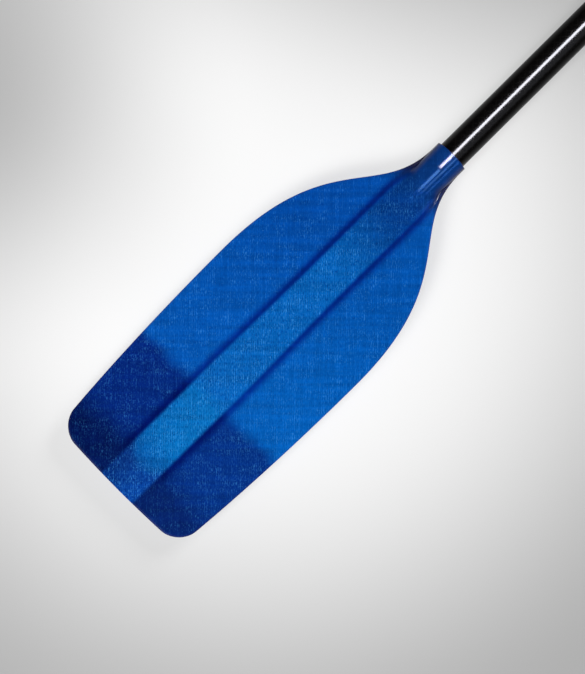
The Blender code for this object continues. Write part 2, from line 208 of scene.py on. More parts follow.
def ringAt(along, radius, sides):
    turns = [2 * math.pi * k / sides for k in range(sides)]
    return [toWorld(along, radius * math.cos(t), radius * math.sin(t)) for t in turns]


def bakeModifiers(piece):
    # The modified mesh becomes the piece's own
    graph = bpy.context.evaluated_depsgraph_get()
    mesh = bpy.data.meshes.new_from_object(piece.evaluated_get(graph))
    piece.modifiers.clear()
    piece.data = mesh


def cutAway(piece, shell, solver="EXACT"):
    bmesh.ops.recalc_face_normals(shell, faces=shell.faces)
    mesh = bpy.data.meshes.new("cutter")
    shell.to_mesh(mesh)
    shell.free()
    cutter = bpy.data.objects.new("cutter", mesh)
    bpy.context.collection.objects.link(cutter)
    boolean = piece.modifiers.new("cut", "BOOLEAN")
    boolean.operation = "DIFFERENCE"
    boolean.solver = solver
    boolean.object = cutter
    bakeModifiers(piece)
    bpy.data.objects.remove(cutter, do_unlink=True)


# Materials


def linear(hexColour):
    channels = [int(hexColour[k:k + 2], 16) / 255 for k in (1, 3, 5)]
    return [c / 12.92 if c <= 0.04045 else ((c + 0.055) / 1.055) ** 2.4 for c in channels] + [1.0]


def addNode(tree, kind, links=None, **settings):
    # Each link is a value, or the node or socket that the input takes it from
    node = tree.nodes.new("ShaderNode" + kind)
    for name, value in settings.items():
        setattr(node, name, value)
    for key, source in (links or {}).items():
        source = source.outputs[0] if isinstance(source, bpy.types.Node) else source
        if isinstance(source, bpy.types.NodeSocket):
            tree.links.new(source, node.inputs[key])
        else:
            node.inputs[key].default_value = source
    return node


def newMaterial(name, **principled):
    material = bpy.data.materials.new(name)
    material.use_nodes = True
    shader = material.node_tree.nodes["Principled BSDF"]
    for key, value in principled.items():
        shader.inputs[key.replace("_", " ")].default_value = value
    return material, material.node_tree, shader


def bladeCoordinates(tree):
    # Along, across and level in millimetres: every piece lies where the frame has it
    place = addNode(tree, "TexCoord").outputs["Object"]
    origin = (-tipX / mm, 0, -middleZ / mm)
    return addNode(tree, "VectorMath", {0: place, 1: (1 / mm,) * 3, 2: origin}, operation="MULTIPLY_ADD")


cloth = {
    "thread": 2.15,  # spacing of the thick threads, which lie at 45 degrees to the paddle's axis
    # Sizes across and along the threads that catch the light
    "dash": (1.05, 3.4),  # painted glint, where a thread lies high
    "fleck": (1.3, 1.5),
    "weft": (75, 5.5),  # the soft streaks of each direction
    "warp": (4, 80),
    "patch": (16, 11),  # in which the threads' painted glints gather
    "run": 26,  # over which a thread's shade changes
    "wander": 14,  # how far the plies' cut ends stray, end to end
    "strayScale": 0.035,  # per millimetre: they stray over about 30 mm
    "unlike": 7.3,  # steps in the noise from a thread to the next, so that neighbours differ
    "fleckShare": 0.6,  # of a dash's brightness
    "dullest": 0.35,  # what a patch without painted glints keeps of them
    "ridge": (0.4, -0.25),  # shading over each thread: its rise, and its level in the gap
    "paintedGlintShare": 0.55,  # of the way from the cloth's colour to the painted glint's
    "strength": {"foam": 0.9, "panel": 0.5, "longPly": 0.46, "shortPly": 0.3},  # of the weave's contrast
    "throughResin": {"neckward": 0.6, "collar": 0.12},  # what the thicker resin leaves of it
    "coreBulge": 0.03,  # how round the end of the foam is, per millimetre
    "bandHalf": (22.7, 20.6, 12.0),  # half the rib's width over the blade, at the neck and in the collar
    "bandNarrows": ((130, 280), (388, 432)),  # where it goes from each to the next
    # The two panels, left and right of the rib as the picture shows them. Here and in the band below,
    # the right colour is lighter with painted light, as if more light fell on that side
    "panel": ("#0354B0", "#035EB8"),
    "longPly": ("#03267A", "#043286"),
    "shortPly": ("#01124E", "#052268"),
    # The band over the foam, in the same order
    "band": ("#0560B4", "#0562B8"),
    "bandOverPly": ("#0464B2", "#0573C0"),
    "bandTip": ("#04307C", "#0644A0"),
    "bandFoot": ("#034C98", "#0456A4"),
    "bandNeck": ("#033A88", "#033C8C"),
    "shaded": "#E4E4F0",  # the panels' fall-off towards the neck
    "crease": "#6090CC",  # what the resin in the rib's crease lets through, darkened further with painted shade
    "collar": "#09367A",
    # the collar's lower sides: deeper for thicker resin, and with painted shade in the hollow
    "collarSideResinAndShade": "#031E54",
    "collarEdge": "#1C1A38",
    # painted glint on the threads
    "paintedGlint": "#48A8F4",
    "gap": "#A4BCD6",  # what the gaps between the threads leave of the colour
}


def dyedGlassCloth():
    # Glass cloth dyed blue in clear epoxy, pressed between polished plates. The threads' glints are painted
    # pale into the colour, the foam under the rib makes it lighter and each extra ply makes it deeper.
    # The resin's specular level is matched to the picture, where the blade hardly mirrors anything.
    material, tree, shader = newMaterial("dyed glass cloth in epoxy", IOR=1.5, Specular_IOR_Level=0.1)
    place = bladeCoordinates(tree)
    along, across, level = addNode(tree, "SeparateXYZ", {0: place}).outputs
    offAxis = addNode(tree, "Math", {0: across}, operation="ABSOLUTE")
    height = addNode(tree, "Math", {0: level}, operation="ABSOLUTE")
    clouds = addNode(tree, "TexNoise", {"Vector": place, "Scale": cloth["strayScale"], "Detail": 2.0})
    links = {0: clouds, 1: float(cloth["wander"]), 2: along}
    strayed = addNode(tree, "Math", links, operation="MULTIPLY_ADD")
    bulge = addNode(tree, "Math", {0: across, 1: across}, operation="MULTIPLY")
    links = {0: bulge, 1: -cloth["coreBulge"], 2: strayed}
    coreEnd = addNode(tree, "Math", links, operation="MULTIPLY_ADD")
    bandEdge = cloth["bandHalf"][0]
    for (start, end), after in zip(cloth["bandNarrows"], cloth["bandHalf"][1:]):
        links = {"Value": along, "From Min": start, "From Max": end, "To Min": bandEdge, "To Max": after}
        bandEdge = addNode(tree, "MapRange", links, interpolation_type="SMOOTHSTEP")
    beyond = addNode(tree, "Math", {0: offAxis, 1: bandEdge}, operation="SUBTRACT")

    # Zones of the blade: what each goes by, in millimetres, where it starts and where it is whole
    half = cloth["wander"] / 2
    zones = {
        # painted light: these two make the right side lighter, as if more light fell there
        "right": (across, 70, -70),
        "paintedLightRightTip": (across, 17, -15),
        "longPly": (strayed, 133 + half, 116 + half),
        "shortPly": (strayed, 58 + half, 24 + half),
        "foam": (coreEnd, 24 + half, 38 + half),
        "foot": (strayed, 70 + half, 34 + half),
        "neckward": (along, 290, 385),
        "shaded": (along, 150, 350),
        "onRib": (beyond, 0.6, -4.6),
        # the rib's crease: its thicker resin and painted shade darken it
        "creaseIn": (beyond, -3.6, 0.4),
        "creaseOut": (beyond, 8.8, 1.2),
        "collar": (along, 384, 428),
        "side": (height, 13.0, 3.0),
        "edge": (height, 4.5, 0.5),
        "atCollar": (along, 398, 424),
        "risen": (along, 14, 46),
        "sanded": (height, 1.76, 1.5),
    }
    zone = {}
    for name, (source, start, whole) in zones.items():
        links = {"Value": source, "From Min": start, "From Max": whole}
        zone[name] = addNode(tree, "MapRange", links, interpolation_type="SMOOTHSTEP").outputs[0]
    overlaps = {
        "creaseIn": ("creaseIn", "risen"),
        "crease": ("creaseIn", "creaseOut"),
        "collarSideResinAndShade": ("side", "atCollar"),
        "collarEdge": ("edge", "atCollar"),
    }
    for name, (first, second) in overlaps.items():
        zone[name] = addNode(tree, "Math", {0: zone[first], 1: zone[second]}, operation="MULTIPLY").outputs[0]
    # each tint's right colour is lighter with painted light
    tint = {}
    for name in ("panel", "longPly", "shortPly", "band", "bandOverPly", "bandFoot", "bandTip", "bandNeck"):
        left, right = cloth[name]
        links = {0: zone["paintedLightRightTip" if name == "bandTip" else "right"], 6: linear(left), 7: linear(right)}
        tint[name] = addNode(tree, "Mix", links, data_type="RGBA").outputs[2]

    # Panels first, then the band, then the two together
    panel, band = tint["panel"], tint["band"]
    for name in ("longPly", "shortPly"):
        links = {0: zone[name], 6: panel, 7: tint[name]}
        panel = addNode(tree, "Mix", links, data_type="RGBA").outputs[2]
    for name, over in (("longPly", "bandOverPly"), ("foot", "bandFoot")):
        links = {0: zone[name], 6: band, 7: tint[over]}
        band = addNode(tree, "Mix", links, data_type="RGBA").outputs[2]
    links = {0: zone["foam"], 6: tint["bandTip"], 7: band}
    band = addNode(tree, "Mix", links, data_type="RGBA").outputs[2]
    links = {0: zone["neckward"], 6: band, 7: tint["bandNeck"]}
    band = addNode(tree, "Mix", links, data_type="RGBA").outputs[2]
    links = {0: zone["shaded"], 6: panel, 7: linear(cloth["shaded"])}
    panel = addNode(tree, "Mix", links, data_type="RGBA", blend_type="MULTIPLY").outputs[2]
    colour = addNode(tree, "Mix", {0: zone["onRib"], 6: panel, 7: band}, data_type="RGBA").outputs[2]
    # painted shade and thicker resin darken the rib's crease
    links = {0: zone["crease"], 6: colour, 7: linear(cloth["crease"])}
    colour = addNode(tree, "Mix", links, data_type="RGBA", blend_type="MULTIPLY").outputs[2]
    # the collar, its lower sides darker with thicker resin and painted shade, and its flash at the edge
    for name in ("collar", "collarSideResinAndShade", "collarEdge"):
        links = {0: zone[name], 6: colour, 7: linear(cloth[name])}
        colour = addNode(tree, "Mix", links, data_type="RGBA").outputs[2]

    # The weave in its own directions: the threads that catch the light run along the second one
    links = {"Vector": place, "Angle": math.radians(45)}
    turned = addNode(tree, "VectorRotate", links, rotation_type="Z_AXIS")
    threads = addNode(tree, "VectorMath", {0: turned, 1: (1 / cloth["thread"],) * 3}, operation="MULTIPLY")
    number = addNode(tree, "VectorMath", {0: threads}, operation="FLOOR")
    number = addNode(tree, "SeparateXYZ", {0: number})
    offset = addNode(tree, "VectorMath", {0: threads}, operation="FRACTION")
    offset = addNode(tree, "SeparateXYZ", {0: offset})
    run = addNode(tree, "SeparateXYZ", {0: turned}).outputs["Y"]
    crowns = []
    for way in (0, 1):
        arc = addNode(tree, "Math", {0: offset.outputs[way], 1: math.pi}, operation="MULTIPLY")
        crowns.append(addNode(tree, "Math", {0: arc}, operation="SINE"))
    ownShade = addNode(tree, "CombineXYZ", {0: number.outputs[0], 1: run})
    steps = (cloth["unlike"], 1 / cloth["run"], 0)
    ownShade = addNode(tree, "VectorMath", {0: ownShade, 1: steps}, operation="MULTIPLY")
    grains = {}
    details = {"dash": 0.0, "fleck": 0.0, "weft": 3.0, "warp": 3.0, "patch": 1.0}
    for name, detail in details.items():
        wide, long = cloth[name]
        scaled = addNode(tree, "VectorMath", {0: turned, 1: (1 / wide, 1 / long, 0)}, operation="MULTIPLY")
        links = {"Vector": scaled, "Scale": 1.0, "Detail": detail}
        grains[name] = addNode(tree, "TexNoise", links, noise_dimensions="2D")
    links = {"Vector": ownShade, "Scale": 1.0, "Detail": 1.0}
    grains["thread"] = addNode(tree, "TexNoise", links, noise_dimensions="2D")
    # Each grain, stretched from where it starts to show to where it is whole
    shows = {
        "dash": ("dash", 0.5, 0.72),
        "fleck": ("fleck", 0.62, 0.85),
        "low": ("dash", 0.44, 0.16),
        "thread": ("thread", 0.3, 0.7),
        "weft": ("weft", 0.3, 0.7),
        "warp": ("warp", 0.3, 0.7),
        "patch": ("patch", 0.4, 0.62),
    }
    levels = {}
    for name, (grain, start, whole) in shows.items():
        links = {"Value": grains[grain], "From Min": start, "From Max": whole}
        levels[name] = addNode(tree, "MapRange", links)
    shade = {"thread": (0.94, 1.06), "weft": (0.88, 1.12), "warp": (0.95, 1.05)}
    for name, (least, most) in shade.items():
        much = addNode(tree, "MapRange", {"Value": levels[name], "To Min": least, "To Max": most})
        colour = addNode(tree, "VectorMath", {0: colour, 1: much}, operation="MULTIPLY")

    # The gaps darken the colour and the dashes lighten it with painted glints: most over the foam, less
    # over the plies and the neck, and not at all where the crease is full of resin or the edge is sanded
    clear, strength = 1.0, cloth["strength"]["panel"]
    for name, kept in cloth["throughResin"].items():
        links = {"Value": zone[name], "To Min": clear, "To Max": kept}
        clear = addNode(tree, "MapRange", links)
    for name, over in (("longPly", "longPly"), ("shortPly", "shortPly"), ("onRib", "foam")):
        links = {"Value": zone[name], "To Min": strength, "To Max": cloth["strength"][over]}
        strength = addNode(tree, "MapRange", links)
    strength = addNode(tree, "Math", {0: strength, 1: clear}, operation="MULTIPLY")
    for name, kept in (("crease", 0.1), ("sanded", 0.0)):
        flat = addNode(tree, "MapRange", {"Value": zone[name], "To Min": 1.0, "To Max": kept})
        strength = addNode(tree, "Math", {0: strength, 1: flat}, operation="MULTIPLY")
    gap = addNode(tree, "Math", {0: levels["low"], 1: strength}, operation="MULTIPLY")
    links = {0: gap, 6: colour, 7: linear(cloth["gap"])}
    colour = addNode(tree, "Mix", links, data_type="RGBA", blend_type="MULTIPLY").outputs[2]
    paintedBright = addNode(tree, "Math", {0: levels["dash"], 1: levels["thread"]}, operation="MULTIPLY")
    paintedBright = addNode(tree, "Math", {0: paintedBright, 1: crowns[0]}, operation="MULTIPLY")
    links = {0: levels["fleck"], 1: cloth["fleckShare"], 2: paintedBright}
    paintedBright = addNode(tree, "Math", links, operation="MULTIPLY_ADD")
    links = {"Value": levels["patch"], "To Min": cloth["dullest"], "To Max": 1.0}
    patchy = addNode(tree, "MapRange", links)
    patchy = addNode(tree, "Math", {0: patchy, 1: strength}, operation="MULTIPLY")
    paintedBright = addNode(tree, "Math", {0: paintedBright, 1: patchy}, operation="MULTIPLY")
    rise, inGap = cloth["ridge"]
    ridge = addNode(tree, "Math", {0: crowns[0], 1: rise, 2: inGap}, operation="MULTIPLY_ADD")
    ridge = addNode(tree, "Math", {0: ridge, 1: patchy, 2: 1.0}, operation="MULTIPLY_ADD")
    colour = addNode(tree, "VectorMath", {0: colour, 1: ridge}, operation="MULTIPLY")
    # painted glint: the dashes and flecks push the colour towards a pale blue
    links = {0: paintedBright, 1: cloth["paintedGlintShare"]}
    paintedGlint = addNode(tree, "Math", links, operation="MULTIPLY", use_clamp=True)
    links = {0: paintedGlint, 6: colour, 7: linear(cloth["paintedGlint"])}
    colour = addNode(tree, "Mix", links, data_type="RGBA")
    tree.links.new(colour.outputs[2], shader.inputs["Base Color"])

    rough = addNode(tree, "MapRange", {"Value": zone["collar"], "To Min": 0.24, "To Max": 0.15})
    rough = addNode(tree, "MapRange", {"Value": zone["sanded"], "To Min": rough, "To Max": 0.55})
    tree.links.new(rough.outputs[0], shader.inputs["Roughness"])
    weave = addNode(tree, "Math", {0: crowns[0], 1: crowns[1]}, operation="MULTIPLY")
    bump = addNode(tree, "Bump", {"Strength": 0.1, "Distance": 0.05 * mm, "Height": weave})
    tree.links.new(bump.outputs[0], shader.inputs["Normal"])
    return material


def epoxyBead():
    # The bead of dyed resin squeezed out between the halves and sanded flush, darker than the cloth
    # and cloudy over about 8 mm
    material, tree, shader = newMaterial("sanded epoxy bead", IOR=1.5, Roughness=0.4, Specular_IOR_Level=0.1)
    cloudy = addNode(tree, "TexNoise", {"Vector": bladeCoordinates(tree), "Scale": 0.12, "Detail": 4.0})
    links = {0: cloudy, 6: linear("#021A4C"), 7: linear("#04307C")}
    colour = addNode(tree, "Mix", links, data_type="RGBA")
    tree.links.new(colour.outputs[2], shader.inputs["Base Color"])
    return material


tow = {
    "count": 12,  # bands of fibre side by side round the tube, wound at 45 degrees
    "width": 7.85,
    "mottle": 1.25,  # grain of the coating, drawn coarser than the fibres so that it shows
    "relief": 0.05,
}


def woundTube(name, roughness):
    # Fibre wound both ways round a mandrel, ground round and coated with clear gloss. It looks
    # black, and the crossing bands only show close up.
    material, tree, shader = newMaterial(name, IOR=1.5, Specular_IOR_Level=0.1)
    place = bladeCoordinates(tree)
    along, across, level = addNode(tree, "SeparateXYZ", {0: place}).outputs
    turn = addNode(tree, "Math", {0: across, 1: level}, operation="ARCTAN2")
    bands = []
    for way in (1, -1):
        around = addNode(tree, "Math", {0: turn, 1: float(tow["count"] * way)}, operation="MULTIPLY")
        links = {0: along, 1: 2 * math.pi / tow["width"], 2: around}
        phase = addNode(tree, "Math", links, operation="MULTIPLY_ADD")
        bands.append(addNode(tree, "Math", {0: phase}, operation="SINE"))
    crossing = addNode(tree, "Math", {0: bands[0], 1: bands[1]}, operation="MAXIMUM")
    fine = addNode(tree, "TexNoise", {"Vector": place, "Scale": 1 / tow["mottle"], "Detail": 5.0})
    share = addNode(tree, "Math", {0: crossing, 1: fine}, operation="MULTIPLY")
    links = {0: share, 6: linear("#070606"), 7: linear("#0F0E0D")}
    colour = addNode(tree, "Mix", links, data_type="RGBA")
    tree.links.new(colour.outputs[2], shader.inputs["Base Color"])
    rough = addNode(tree, "Math", {0: fine, 1: 0.03, 2: roughness}, operation="MULTIPLY_ADD")
    tree.links.new(rough.outputs[0], shader.inputs["Roughness"])
    bump = addNode(tree, "Bump", {"Strength": 0.02, "Distance": tow["relief"] * mm, "Height": crossing})
    tree.links.new(bump.outputs[0], shader.inputs["Normal"])
    return material


nylon = {
    "grain": 0.625,  # coarser than the real tenth of a millimetre, so that it shows
    "grainDepth": 0.12,
    "flowScale": 0.06,  # per millimetre: the melt's flow marks lie about 17 mm apart
}


def mouldedNylon():
    # Glass-filled nylon moulded in a spark-eroded tool: black and dull, with an even grain
    material, tree, shader = newMaterial("moulded glass-filled nylon", IOR=1.53)
    place = bladeCoordinates(tree)
    grain = addNode(tree, "TexVoronoi", {"Vector": place, "Scale": 1 / nylon["grain"]})
    flow = addNode(tree, "TexNoise", {"Vector": place, "Scale": nylon["flowScale"], "Detail": 3.0})
    links = {0: flow, 6: linear("#121213"), 7: linear("#1C1C1E")}
    colour = addNode(tree, "Mix", links, data_type="RGBA")
    tree.links.new(colour.outputs[2], shader.inputs["Base Color"])
    rough = addNode(tree, "Math", {0: flow, 1: 0.16, 2: 0.38}, operation="MULTIPLY_ADD")
    tree.links.new(rough.outputs[0], shader.inputs["Roughness"])
    links = {"Strength": 0.35, "Distance": nylon["grainDepth"] * mm, "Height": grain.outputs["Distance"]}
    tree.links.new(addNode(tree, "Bump", links).outputs[0], shader.inputs["Normal"])
    return material


def closedCellFoam():
    # Rigid closed-cell foam, hot-wire cut: cream and matt, with cells of about a millimetre
    perMillimetre = 1.1
    material, tree, shader = newMaterial("closed-cell foam", Roughness=0.9)
    cells = addNode(tree, "TexVoronoi", {"Vector": bladeCoordinates(tree), "Scale": perMillimetre})
    cells = cells.outputs["Distance"]
    links = {0: cells, 6: linear("#C9CBBE"), 7: linear("#DDDDD2")}
    colour = addNode(tree, "Mix", links, data_type="RGBA")
    tree.links.new(colour.outputs[2], shader.inputs["Base Color"])
    bump = addNode(tree, "Bump", {"Strength": 0.6, "Distance": 0.3 * mm, "Height": cells})
    tree.links.new(bump.outputs[0], shader.inputs["Normal"])
    return material


def wettedCloth():
    # One ply of the dyed cloth, wetted out: the same weave, deeper for having no foam behind it
    material, tree, shader = newMaterial("wetted reinforcing cloth", Roughness=0.4)
    links = {"Vector": bladeCoordinates(tree), "Angle": math.radians(45)}
    turned = addNode(tree, "VectorRotate", links, rotation_type="Z_AXIS")
    links = {"Vector": turned, "Scale": 1 / cloth["thread"]}
    links.update({"Color1": linear("#031F63"), "Color2": linear("#052C7C")})
    weave = addNode(tree, "TexChecker", links)
    tree.links.new(weave.outputs["Color"], shader.inputs["Base Color"])
    return material


# Blade


def halfWidthAt(along):
    b = bladeShape
    ahead = max(b["shoulderStart"] - along, 0) / b["shoulderStart"]
    side = b["halfWidth"] - (b["halfWidth"] - b["tipHalfWidth"]) * ahead**2
    if along < b["tipCorner"]:
        return side - b["tipCorner"] + arch(b["tipCorner"], b["tipCorner"] - along)
    if along < b["shoulderStart"]:
        return side
    neckHalf = arch(neck["outer"], parting)
    if along >= neckEnd:
        return neckHalf
    # The shoulder is a cubic Bezier curve, level at both ends; its parameter is found by halving
    length = neckEnd - b["shoulderStart"]
    upper = b["shoulderFullness"] * length
    lower = (1 - b["neckFullness"]) * length
    low, high = 0.0, 1.0
    for _ in range(40):
        t = (low + high) / 2
        reached = 3 * (1 - t) ** 2 * t * upper + 3 * (1 - t) * t**2 * lower + t**3 * length
        low, high = (t, high) if reached < along - b["shoulderStart"] else (low, t)
    return b["halfWidth"] + (neckHalf - b["halfWidth"]) * ease(t)


def section(along):
    # What every point of one cross-section of the blade needs
    probe = 0.1
    width = halfWidthAt(along)
    slope = (halfWidthAt(along + probe) - halfWidthAt(max(along - probe, 0))) / (2 * probe)
    share = clamp((along - ribFull) / (noseStart - ribFull), 0, 1)
    full = rib["tipHeight"] + (rib["neckHeight"] - rib["tipHeight"]) * share
    panel = bladeShape["panel"] / 2
    return {
        "along": along,
        "width": width,
        "lean": math.hypot(1, slope),
        "ribHalf": -softMax(-rib["halfWidth"], rib["edgeMargin"] - width, rib["wallRun"]),
        "ribLevel": panel + (full - panel) * ease((along - rib["start"]) / rib["rise"]),
        "drop": neck["slope"] * max(collarStart - along, 0),
        "left": ease((collarStart - along) / neck["flangeFade"]),  # 1 on the blade, 0 on the collar
        "blend": 1 - ease((collarStart - along) / neck["columnBlend"]),
    }


def withRib(cut, across, inset, floor):
    beyondTop = (abs(across) - cut["ribHalf"] + inset) / rib["wallRun"] + 0.5
    return floor + (cut["ribLevel"] - inset - floor) * (1 - ease(beyondTop))


def outerLevel(cut, across):
    edgeHalf, panelHalf = bladeShape["edge"] / 2, bladeShape["panel"] / 2
    edgeDistance = clamp((cut["width"] - abs(across)) / cut["lean"], 0, cut["along"])
    share = clamp(edgeDistance / bladeShape["edgeRounding"], 0, 1)
    panel = edgeHalf + (panelHalf - edgeHalf) * math.sqrt(1 - (1 - share) ** 2)
    deck = edgeHalf + (withRib(cut, across, 0, panel) - edgeHalf) * cut["left"]
    fillet = max(neck["crease"] * cut["left"], parting)
    level = max(softMax(deck, arch(neck["outer"], across) - cut["drop"], fillet), parting)
    # The very edge is sanded round
    sanded = 1 - clamp(edgeDistance / bladeShape["rimRadius"], 0, 1)
    rounded = parting + (level - parting) * math.sqrt(1 - sanded**2)
    return level + (rounded - level) * cut["left"]


def halfColumns(cut, inset):
    n = fineness
    width = cut["width"]
    rounding = bladeShape["edgeRounding"]
    top = cut["ribHalf"] - inset - rib["wallRun"] / 2
    foot = top + rib["wallRun"]
    pocket = foot + inset + tipCloth["coreMargin"] - glueLine
    rim = width - pocketStart
    columns = [top * k / n["top"] for k in range(n["top"] + 1)]
    columns += [top + rib["wallRun"] * (k + 1) / n["wall"] for k in range(n["wall"])]
    columns += [foot + (pocket - foot) / 2, pocket]
    columns += [pocket + (rim - pocket) * (k + 1) / n["panel"] for k in range(n["panel"])]
    columns += [width - rounding * (1 - math.sin(math.pi / 2 * k / n["edge"])) for k in range(n["edge"] + 1)]
    # No two columns meet, and the gap narrows over the last few
    last, few = len(columns) - 1, 5
    for k in range(last - 1, 0, -1):
        columns[k] = min(columns[k], columns[k + 1] - n["gap"] * min(last - k, few) / few)
    onArc = [width * math.sin(math.pi / 2 * k / last) for k in range(last + 1)]
    return [y + (arc - y) * cut["blend"] for y, arc in zip(columns, onArc)]


def bladeRows():
    corner = bladeShape["tipCorner"]
    rows = [0, pocketStart - stepRun, pocketStart, pocketEnd, pocketEnd + stepRun]
    rows += [rib["coreStart"] - glueLine - stepRun, rib["coreStart"] - glueLine]
    rows += [shaft["foot"], shaft["foot"] + glueLine, collarStart, neckEnd, bladeShape["length"]]
    turns = fineness["cornerTurns"]
    spare = [corner * (1 - math.cos(math.pi / 2 * k / turns)) for k in range(1, turns + 1)]
    count = math.ceil((bladeShape["length"] - corner) / fineness["rows"])
    spare += [corner + (bladeShape["length"] - corner) * k / count for k in range(1, count)]
    for along in spare:
        near = min(abs(along - other) for other in rows)
        if near > min(fineness["rows"] / 3, along / 3):
            rows.append(along)
    return sorted(rows)


def bladePoint(along, across, level):
    bow = bladeShape["tipBow"] * (across / halfWidthAt(0)) ** 2 * (1 - ease(along / bladeShape["bowFade"]))
    return along + bow, across, level


def bothSides(half, sign=-1):
    return [sign * value for value in reversed(half[1:])] + half


def outerRow(cut):
    columns = bothSides(halfColumns(cut, 0))
    return [bladePoint(cut["along"], y, outerLevel(cut, y)) for y in columns]


def innerRow(cut):
    along = cut["along"]
    tiny = 1e-6
    footEnd = shaft["foot"]
    columns = halfColumns(cut, bladeShape["wall"])
    last = len(columns) - 1
    inSocket = along > footEnd + tiny
    inCore = rib["coreStart"] - glueLine - tiny < along < footEnd + tiny
    inPocket = pocketStart - tiny < along < pocketEnd + tiny
    firstPocket = fineness["top"] + fineness["wall"] + 2
    pocketColumns = range(firstPocket, firstPocket + fineness["panel"] + 1)
    if inSocket:
        reach = math.sqrt(neck["socket"] ** 2 - (cut["drop"] + parting) ** 2)
        columns = [reach * math.sin(math.pi / 2 * k / (last - 1)) for k in range(last)] + [cut["width"]]
    levels = []
    for k, y in enumerate(columns):
        level = parting
        socket = arch(neck["socket"], y) - cut["drop"]
        if inSocket and k < last:
            level = max(parting, socket)
        if inCore:
            underRib = withRib(cut, y, bladeShape["wall"], parting)
            level = max(parting, softMax(underRib, socket, neck["crease"]))
        if inPocket and k in pocketColumns:
            level = pocketLevel
        levels.append(level)
    points = zip(bothSides(columns), bothSides(levels, 1))
    return [bladePoint(along, y, z) for y, z in points]


def addBladeHalves(material):
    cuts = [section(along) for along in bladeRows()]
    outer = [outerRow(cut) for cut in cuts]
    inner = [innerRow(cut) for cut in cuts]
    for name, node, side in (("power_face", "power_face_skin", 1), ("back_face", "back_face_skin", -1)):
        grids = [[[toWorld(x, y, z * side) for x, y, z in row] for row in grid] for grid in (outer, inner)]
        piece = newPiece(f"{name}_laminate", slab(*grids), material)
        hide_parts(node)
    print("blade halves:", len(cuts), "rows of", len(outer[0]))


# How far the bead reaches in, where its crown starts, how far that stands out, and its steps
bead = {"depth": 2.0, "crown": 0.1, "proud": 0.05, "step": 2.0}


def outline():
    # Round the blade from one side of the collar to the other, by way of the tip
    side = [(along, halfWidthAt(along)) for along in bladeRows()]
    corner = side[0][1]
    count = math.ceil(2 * corner / bead["step"])
    tip = [(0, corner - 2 * corner * k / count) for k in range(1, count)]
    points = [bladePoint(x, y, 0)[:2] for x, y in reversed(side)]
    points += [bladePoint(x, y, 0)[:2] for x, y in tip]
    return points + [bladePoint(x, -y, 0)[:2] for x, y in side]


def addRimBead(material):
    points = outline()
    rings = []
    for k, (x, y) in enumerate(points):
        before, after = points[max(k - 1, 0)], points[min(k + 1, len(points) - 1)]
        ahead = Vector((after[0] - before[0], after[1] - before[1])).normalized()
        outward = Vector((ahead.y, -ahead.x))
        if outward.y * y < 0:
            outward = -outward
        if abs(y) < 1:
            outward = Vector((-1, 0))
        profile = ((-bead["depth"], parting), (-bead["crown"], parting), (bead["proud"], 0))
        profile += ((-bead["crown"], -parting), (-bead["depth"], -parting))
        rings.append([toWorld(x + outward.x * off, y + outward.y * off, level) for off, level in profile])
    shell, _ = loft(rings)
    print("rim bead:", len(rings), "sections")
    return newPiece("rim_resin_bead", shell, material)


collarFillet = {"depth": 4, "skirt": 0.1, "lip": 0.35, "reach": 0.8}  # in the collar and out along the shaft


def addCollarFillet(material):
    # The ring of resin that shows where the shaft enters the collar
    end = bladeShape["length"]
    inner, outer = shaft["radius"], neck["socket"]
    start, skirt = end - collarFillet["depth"], collarFillet["skirt"]
    profile = ((start, inner), (start, outer), (end - skirt, outer))
    profile += ((end + collarFillet["lip"], outer - skirt), (end + collarFillet["reach"], inner))
    rings = [ringAt(along, radius, shaft["sides"]) for along, radius in profile]
    shell, _ = loft(rings, closed=True)
    return newPiece("collar_resin_fillet", shell, material)


# Shaft


def scarfRing(along):
    drop = neck["slope"] * max(collarStart - along, 0)
    reach = arch(shaft["radius"], drop)
    ring = []
    for k in range(shaft["sides"]):
        turn = 2 * math.pi * k / shaft["sides"]
        y = reach * math.cos(turn)
        level = max(arch(shaft["radius"], y) - drop, 0) if k % (shaft["sides"] // 2) else 0
        ring.append(toWorld(along, y, math.copysign(level, math.sin(turn))))
    return ring


def addShaft(material):
    steps = shaft["scarfSteps"]
    start, end = shaft["foot"], shaft["end"]
    chamfer = shaft["endChamfer"]
    rings = [scarfRing(start + (collarStart - start) * k / steps) for k in range(steps + 1)]
    rings += [ringAt(end - chamfer, shaft["radius"], shaft["sides"])]
    rings += [ringAt(end, shaft["radius"] - chamfer, shaft["sides"])]
    shell, _ = loft(rings)
    tube = newPiece("wound_shaft", shell, material)
    bore, past = shaft["radius"] - shaft["wall"], 9
    cutAway(tube, loft([ringAt(along, bore, shaft["sides"]) for along in (start - past, end + past)])[0])
    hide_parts("shaft_tube")
    print("shaft:", len(tube.data.polygons), "faces")


# Grip. Its cage is given in the grip's own terms: the distance up from the end of the shaft

grip = {
    "foot": (gripLow[0] - tipX) / mm,
    "height": 96,
    "width": 112,
    "thickness": 35.2,
    "barDepth": 36,
    "barDroop": 2.2,
    # Along the bar: shares of its half width, depth and thickness
    "bar": (
        (0.0, 0.95, 0.93),
        (0.36, 0.96, 0.95),
        (0.58, 1.0, 1.0),
        (0.78, 1.0, 1.0),
        (0.92, 0.9, 0.87),
        (1.0, 0.52, 0.48),
    ),
    "endDrawnIn": 0.3,
    # Down the stem: shares of the grip's height and of the stem's radius
    "stem": ((0.45, 1.04), (0.25, 1.0), (0.02, 1.0), (0.0, 1.0)),
    "stemRadius": 16.2,
    "wall": 3.2,
    "smoothings": 4,
    "insideSmoothings": 3,
}


